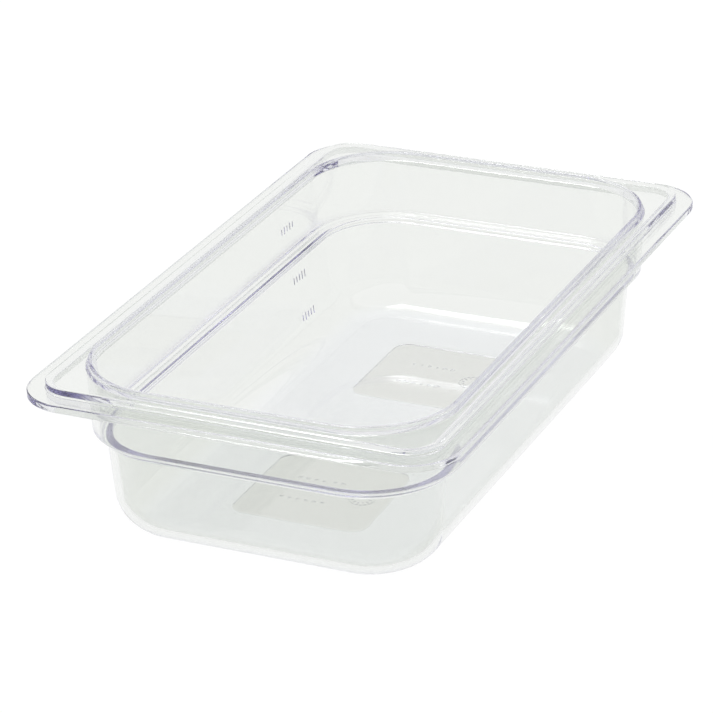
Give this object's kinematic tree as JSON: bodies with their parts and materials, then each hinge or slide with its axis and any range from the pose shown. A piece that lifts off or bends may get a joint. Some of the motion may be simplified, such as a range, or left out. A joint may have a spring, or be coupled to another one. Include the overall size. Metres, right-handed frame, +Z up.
{
  "type": "deli food pan",
  "caption": "Clear rectangular food pan with a flanged rim, a stacking shoulder, drafted walls and a wide rounded base, for a deli display or a food well.",
  "frame": {"origin": "middle of the footprint, at the level that the base rests on", "axes": "+X along the long side, +Y along the short side, +Z up through the open mouth"},
  "size_m": [0.265, 0.162, 0.065],
  "materials": {
    "clear_plastic": "polished clear polycarbonate, with a fine matt underside around two clear panels"
  },
  "bodies": {
    "root": {"food_pan": "clear_plastic"}
  },
  "joints": []
}
